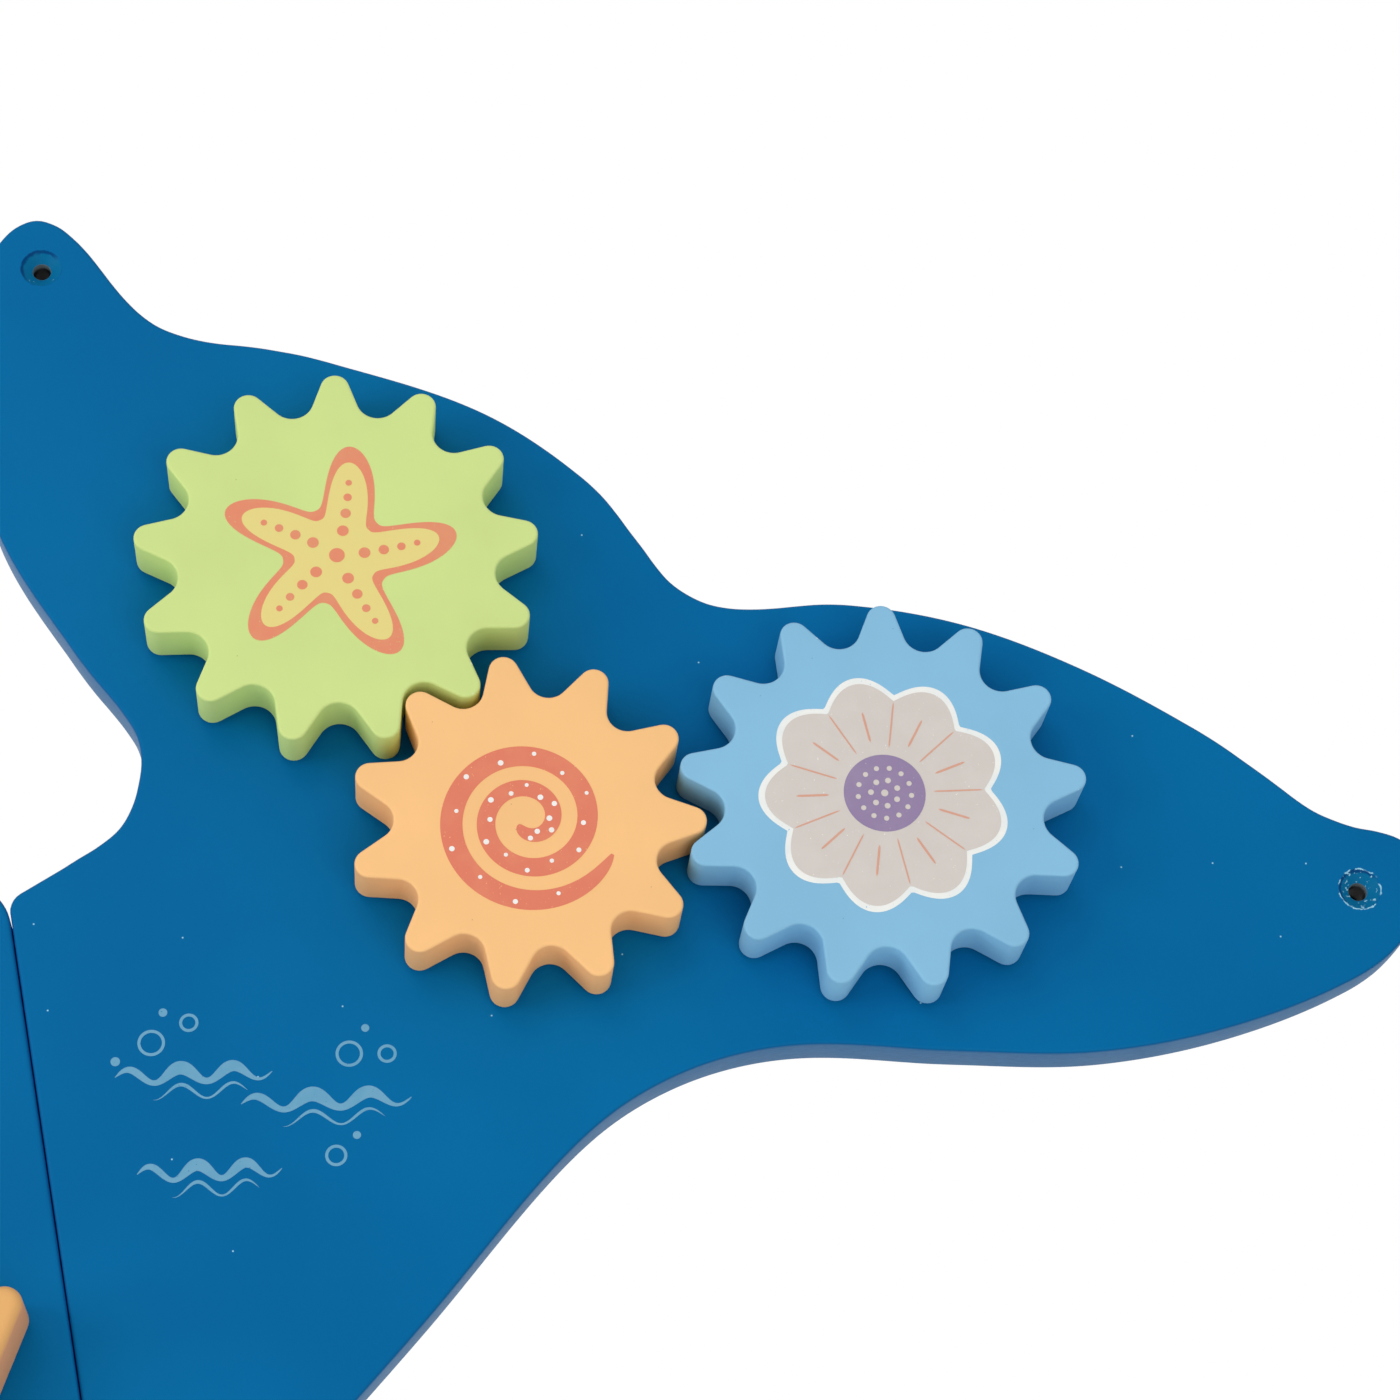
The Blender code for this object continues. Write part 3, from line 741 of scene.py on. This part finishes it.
def cross_cutters(spot, height, reach, width, depth):
    """Two crossed slots for the screwdriver, cut into a head from behind."""
    cutters = []
    x, z = spot
    for across, along in ((reach, width), (width, reach)):
        bm = bmesh.new()
        bmesh.ops.create_cube(bm, size=1.0)
        size = Matrix.Diagonal((across, 2 * depth, along, 1.0))
        bmesh.ops.transform(bm, matrix=Matrix.Translation((x, height, z)) @ size, verts=bm.verts)
        for v in bm.verts:
            if v.co.y < height:
                v.co.x = x + (v.co.x - x) * CROSS_TAPER
                v.co.z = z + (v.co.z - z) * CROSS_TAPER
        cutters.append(cutter("cross_slot", bm))
    return cutters


def washer(colour, steel):
    """Punched washer: one rim soft, a clean hole."""
    node = f"{colour}_washer"
    low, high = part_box(node)
    radius = (high.x - low.x) / 2
    middle = WASHER_SOFT_MIDDLE * WASHER_SOFT
    profile = [
        (WASHER_HOLE_RADIUS, low.y),
        (radius, low.y),
        (radius, high.y - WASHER_SOFT),
        (radius - middle, high.y - middle),
        (radius - WASHER_SOFT, high.y),
        (WASHER_HOLE_RADIUS + WASHER_SOFT, high.y),
        (WASHER_HOLE_RADIUS, high.y - WASHER_SOFT),
    ]
    piece = finished(f"{node}_punched", turned_mesh(profile, axis_of(node), closed=True),
                     f"{colour}_wheel", steel)
    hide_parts(node)


def pan_screw(colour, steel):
    """Pan-head screw with a domed head and a cross recess."""
    node = f"{colour}_screw"
    low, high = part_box(node)
    radius = (high.x - low.x) / 2
    seat = high.y - PAN_HEAD_HEIGHT
    profile = [
        (0.0, low.y),
        (PAN_SHANK_RADIUS, low.y + 2 * PAN_SHANK_RADIUS),
        (PAN_SHANK_RADIUS, seat),
        (radius, seat),
    ]
    crown = PAN_CROWN_SHARE * radius
    shoulder = seat + PAN_HEAD_WALL
    for k in range(PAN_DOME_STEPS + 1):
        turn = math.pi / 2 * k / PAN_DOME_STEPS
        reach = crown + (radius - crown) * math.cos(turn)
        profile.append((reach, shoulder + (high.y - shoulder) * math.sin(turn)))
    profile.append((0.0, high.y))
    spot = axis_of(node)
    piece = finished(f"{node}_domed", turned_mesh(profile, spot), f"{colour}_wheel", steel)
    cut(piece, cross_cutters(spot, high.y, *PAN_CROSS))
    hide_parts(node)


def block_screw(side, steel):
    """Countersunk screw from behind into the block, with a cross recess."""
    node = f"block_screw_{side}"
    low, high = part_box(node)
    radius = (high.x - low.x) / 2
    profile = [
        (0.0, low.y),
        (BLOCK_SHANK_RADIUS, low.y + 2 * BLOCK_SHANK_RADIUS),
        (BLOCK_SHANK_RADIUS, high.y - (radius - BLOCK_SHANK_RADIUS)),
        (radius, high.y - BLOCK_HEAD_WALL),
        (radius - BLOCK_HEAD_CHAMFER, high.y),
        (0.0, high.y),
    ]
    spot = axis_of(node)
    piece = finished(f"{node}_headed", turned_mesh(profile, spot), "panel", steel)
    cut(piece, cross_cutters(spot, high.y, *BLOCK_CROSS))
    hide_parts(node)


# Prints

def prints(name, shapes, level, body, material):
    """Ink on a face: flat closed shapes, one layer thick, their backs just under the layer's level."""
    bm = bmesh.new()
    for shape in shapes:
        face = bm.faces.new([bm.verts.new((p.x, level + INK, p.y)) for p in shape])
        walls = bmesh.ops.extrude_face_region(bm, geom=[face])
        raised = [v for v in walls["geom"] if isinstance(v, bmesh.types.BMVert)]
        bmesh.ops.translate(bm, vec=(0.0, -2 * INK, 0.0), verts=raised)
    piece = finished(name, bm, body, material)


def disc(centre, radius, steps=48):
    """Round shape."""
    return [Vector(centre) + radius * unit(math.tau * k / steps) for k in range(steps)]


def lobed(centre, inner, outer, lobes, sharpness, turn, curl=0.0):
    """Closed shape whose edge swings between two radii, with each lobe curled a little to one side."""
    points = []
    for k in range(PRINT_STEPS):
        angle = math.tau * k / PRINT_STEPS
        swing = ((1 + math.cos(lobes * angle)) / 2) ** sharpness
        radius = inner + (outer - inner) * swing
        points.append(Vector(centre) + radius * unit(turn + angle + curl * swing))
    return points


def stroke(path, half_widths):
    """Closed shape of a pen stroke along a path."""
    left, right = [], []
    for k, (point, half) in enumerate(zip(path, half_widths)):
        along = (path[min(k + 1, len(path) - 1)] - path[max(k - 1, 0)]).normalized()
        across = Vector((-along.y, along.x)) * half
        left.append(point + across)
        right.append(point - across)
    return left + right[::-1]


def soft_end(along, evenness):
    """Width of a stroke at a place along it, from -1 to 1: full nearly everywhere, round at both ends."""
    return math.sqrt(max(STROKE_LEAST, 1 - along ** evenness))


def straight_stroke(centre, angle, start, end, half):
    """Stroke away from a centre, from one distance to another."""
    count = 16
    shares = [k / (count - 1) for k in range(count)]
    path = [Vector(centre) + (start + (end - start) * share) * unit(angle) for share in shares]
    return stroke(path, [half * soft_end(2 * share - 1, 8) for share in shares])


def sea_star(centre, level):
    """Five-armed star in two inks, dotted along its arms."""
    turn = math.radians(68)
    under = GEAR_PAINTS["green"][0]
    salmon = ink_finish("salmon ink on green", SALMON, under)
    yellow = ink_finish("yellow ink", YELLOW, under)
    arms = 5
    rim = lobed(centre, inner=0.0165, outer=0.0375, lobes=arms, sharpness=1.35, turn=turn, curl=0.10)
    middle = lobed(centre, inner=0.0130, outer=0.0320, lobes=arms, sharpness=1.45, turn=turn, curl=0.09)
    prints("green_gear_star", [rim], level, "green_wheel", salmon)
    prints("green_gear_star_middle", [middle], level - INK, "green_wheel", yellow)
    dots = [disc(centre, radius=0.0024)]
    for arm in range(arms):
        along = turn + math.tau * arm / arms
        for radius, size, curl in STAR_DOTS:
            dots.append(disc(Vector(centre) + radius * unit(along + curl), size, steps=24))
    prints("green_gear_star_dots", dots, level - 2 * INK, "green_wheel", salmon)


def spiral(centre, level):
    """Broad spiral with small pale dots along it."""
    under = GEAR_PAINTS["orange"][0]
    salmon = ink_finish("salmon ink on orange", SALMON_DEEP, under)
    pale = ink_finish("white ink on salmon", WHITE, SALMON)
    first_angle = math.radians(200)
    turns = 2.35
    first_radius = 0.0030
    growth = 0.0245
    half = 0.0036
    half_at_start = 0.62
    count = 260
    path, widths = [], []
    for k in range(count):
        share = k / (count - 1)
        angle = first_angle + math.tau * turns * share
        radius = first_radius + growth * share
        path.append(Vector(centre) + radius * unit(angle))
        fullness = half_at_start + (1 - half_at_start) * share
        widths.append(half * soft_end(2 * share - 1, 10) * fullness)
    prints("orange_gear_spiral", [stroke(path, widths)], level, "orange_wheel", salmon)
    rng = random.Random(5)
    dots = []
    off_path = 0.0011
    dotted = path[20:-12:9]
    for number, point in enumerate(dotted):
        side = off_path * (-1) ** number
        outward = (point - Vector(centre)).normalized()
        size = rng.uniform(0.0006, 0.0009)
        dots.append(disc(point + side * outward, size, steps=20))
    prints("orange_gear_dots", dots, level - INK, "orange_wheel", pale)


def flower(centre, level):
    """Round flower of broad petals with a pale border, fine ribs and a plain middle."""
    under = GEAR_PAINTS["blue"][0]
    petals = 9
    turn = math.radians(12)
    white = ink_finish("white ink", WHITE, under)
    beige = ink_finish("beige ink", BEIGE, WHITE)
    salmon = ink_finish("salmon ink on beige", SALMON_PALE, BEIGE)
    purple = ink_finish("purple ink", PURPLE, BEIGE)
    border = lobed(centre, inner=0.0325, outer=0.0385, lobes=petals, sharpness=0.55, turn=turn)
    body = lobed(centre, inner=0.0305, outer=0.0365, lobes=petals, sharpness=0.55, turn=turn)
    prints("blue_gear_flower_border", [border], level, "blue_wheel", white)
    prints("blue_gear_flower_petals", [body], level - INK, "blue_wheel", beige)
    ribs = []
    for petal in range(petals):
        angle = turn + math.tau * petal / petals
        gap = angle + math.pi / petals
        ribs.append(straight_stroke(centre, angle, start=0.0170, end=0.0270, half=0.00035))
        ribs.append(straight_stroke(centre, gap, start=0.0150, end=0.0300, half=0.00025))
    prints("blue_gear_flower_ribs", ribs, level - 2 * INK, "blue_wheel", salmon)
    middle = disc(centre, radius=0.0125, steps=72)
    prints("blue_gear_flower_middle", [middle], level - 2 * INK, "blue_wheel", purple)
    seeds = [disc(centre, radius=0.0011, steps=24)]
    for count, radius, size in FLOWER_SEEDS:
        for k in range(count):
            along = unit(turn + math.tau * k / count)
            seeds.append(disc(Vector(centre) + radius * along, size, steps=20))
    prints("blue_gear_flower_seeds", seeds, level - 3 * INK, "blue_wheel", beige)


def ring_shape(centre, radius, half):
    """Two halves of a thin ring."""
    steps = 48
    halves = []
    for start in (0.0, math.pi):
        path = [Vector(centre) + radius * unit(start + math.pi * k / steps) for k in range(steps + 1)]
        halves.append(stroke(path, [half] * (steps + 1)))
    return halves


def wave(centre, length, half, drop=0.0, start=0.0, end=1.0):
    """Brush stroke along a row of crests or part of it: pointed at both ends, fullest on the crests."""
    forward = unit(WAVE_TILT)
    upward = unit(WAVE_TILT + math.pi / 2)
    path, widths = [], []
    for k in range(WAVE_STEPS):
        share = k / (WAVE_STEPS - 1)
        along = start + (end - start) * share
        swing = math.sin(math.tau * WAVE_CRESTS * along)
        rise = WAVE_HEIGHT * swing - drop
        path.append(Vector(centre) + (along - 0.5) * length * forward + rise * upward)
        inside = min(max(share, WAVE_TIP), 1 - WAVE_TIP)
        fade = math.sin(math.pi * inside) ** WAVE_TAPER
        widths.append(half * fade * (1 + WAVE_SWELL * swing))
    return stroke(path, widths)


def waves_and_bubbles(level):
    """Rows of pale waves, each with a fine line under it, and bubbles rising from them."""
    pale = ink_finish("pale blue ink", PALE_BLUE, BOARD_BLUE)
    waves = []
    for spot, length in WAVES:
        waves.append(wave(spot, length, WAVE_FULLNESS * length))
        waves.append(wave(spot, length, FINE_LINE, drop=FINE_LINE_DROP, start=0.24, end=0.84))
    prints("tail_board_waves", waves, level, "panel", pale)
    bubbles = []
    for spot, radius in BUBBLE_RINGS:
        bubbles.extend(ring_shape(spot, radius, FINE_LINE))
    for spot, radius in BUBBLE_DOTS:
        bubbles.append(disc(spot, radius, steps=32))
    prints("tail_board_bubbles", bubbles, level, "panel", pale)


# Studio

def place_camera():
    """Camera where the photo was taken from."""
    camera = bpy.data.objects.new("camera", bpy.data.cameras.new("camera"))
    bpy.context.scene.collection.objects.link(camera)
    camera.data.lens = CAMERA_LENS
    camera.data.sensor_width = SENSOR_WIDTH
    camera.data.clip_start = 0.05
    camera.data.clip_end = 50.0
    sight = Vector(CAMERA_AIM) - Vector(CAMERA_PLACE)
    look = sight.to_track_quat("-Z", "Y").to_matrix().to_4x4()
    camera.matrix_world = Matrix.Translation(CAMERA_PLACE) @ look @ Matrix.Rotation(CAMERA_ROLL, 4, "Z")
    bpy.context.scene.camera = camera


def area_light(name, place, size, power):
    """Round soft light that looks at the frame's origin, which is near the panel's middle."""
    lamp = bpy.data.lights.new(name, "AREA")
    lamp.shape = "DISK"
    lamp.size = size
    lamp.energy = power
    light = bpy.data.objects.new(name, lamp)
    bpy.context.scene.collection.objects.link(light)
    light.location = place
    light.rotation_euler = (-Vector(place)).to_track_quat("-Z", "Y").to_euler()


def background_rays(tree):
    """1 for the rays of the camera, gloss and glass, which see the background, and 0 for others."""
    path = tree.nodes.new("ShaderNodeLightPath")
    seen = path.outputs["Is Camera Ray"]
    for kind in ("Is Glossy Ray", "Is Transmission Ray"):
        either = tree.nodes.new("ShaderNodeMath")
        either.operation = "MAXIMUM"
        tree.links.new(seen, either.inputs[0])
        tree.links.new(path.outputs[kind], either.inputs[1])
        seen = either.outputs[0]
    return seen


def strength_by_ray(tree, hidden, seen):
    """Strength that is one value for the rays that see the background, and another for the rest."""
    strength = tree.nodes.new("ShaderNodeMapRange")
    strength.inputs["To Min"].default_value = hidden
    strength.inputs["To Max"].default_value = seen
    tree.links.new(background_rays(tree), strength.inputs["Value"])
    return strength.outputs["Result"]


def white_sky():
    """Even sky that the camera, gloss and glass see as plain white."""
    world = bpy.data.worlds.new("white sky")
    bpy.context.scene.world = world
    world.use_nodes = True
    tree = world.node_tree
    sky = tree.nodes["Background"]
    sky.inputs["Color"].default_value = (1.0, 1.0, 1.0, 1.0)
    tree.links.new(strength_by_ray(tree, SKY_LIGHT, SKY_SEEN), sky.inputs["Strength"])


def pale_floor():
    """Floor of pale paper that the camera, gloss and glass see nearly white."""
    bm = bmesh.new()
    bmesh.ops.create_grid(bm, x_segments=1, y_segments=1, size=FLOOR_SIZE / 2)
    mesh = bpy.data.meshes.new("floor")
    bm.to_mesh(mesh)
    bm.free()
    paper = bpy.data.materials.new("floor paper")
    paper.use_nodes = True
    tree = paper.node_tree
    shader = tree.nodes["Principled BSDF"]
    shader.inputs["Base Color"].default_value = linear(FLOOR_PAPER)
    shader.inputs["Roughness"].default_value = 0.9
    shader.inputs["Specular IOR Level"].default_value = 0.1
    shader.inputs["Emission Color"].default_value = (1.0, 1.0, 1.0, 1.0)
    tree.links.new(strength_by_ray(tree, 0.0, FLOOR_GLOW), shader.inputs["Emission Strength"])
    mesh.materials.append(paper)
    floor = bpy.data.objects.new("floor", mesh)
    floor.location.z = FLOOR_HEIGHT
    bpy.context.scene.collection.objects.link(floor)


def give(nodes, material):
    """Gives CAD nodes that keep their shape a material."""
    for node in nodes:
        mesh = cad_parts[node].data
        mesh.materials.clear()
        mesh.materials.append(material)


place_camera()
white_sky()
pale_floor()
for name, place, size, power in LIGHTS:
    area_light(name, place, size, power)

steel = steel_finish()
gear_colours = {"green": "green_paint", "orange": "orange_paint", "blue": "pale_blue_paint"}
bores = []
for colour, slot in gear_colours.items():
    spot = axis_of(f"{colour}_axle")
    bores.append(stepped_cutter("axle_bore", spot, AXLE_BORE_RADIUS, COUNTERBORE_RADIUS, -COUNTERBORE_DEPTH))
    gear(colour)
    washer(colour, steel)
    pan_screw(colour, steel)
edge = edge_finish()
seam = seam_finish()
board("tail_board", TAIL_WALL_HOLES, bores, edge, seam)
screw_holes = []
for side in ("left", "right"):
    spot = axis_of(f"block_screw_{side}")
    hole = stepped_cutter("screw_hole", spot, BLOCK_SCREW_HOLE, BLOCK_SCREW_SINK, -BLOCK_SCREW_SINK_DEPTH)
    screw_holes.append(hole)
    block_screw(side, steel)
board("body_board", BODY_WALL_HOLES, screw_holes, edge, seam)
orange_block()
give([f"{colour}_axle" for colour in gear_colours], wood_finish())
give([f"{colour}_bush" for colour in gear_colours], nylon_finish())

sea_star(axis_of("green_axle"), GEAR_FRONT)
spiral(axis_of("orange_axle"), GEAR_FRONT)
flower(axis_of("blue_axle"), GEAR_FRONT)
waves_and_bubbles(BOARD_FRONT)

bpy.context.scene.view_settings.view_transform = "Standard"
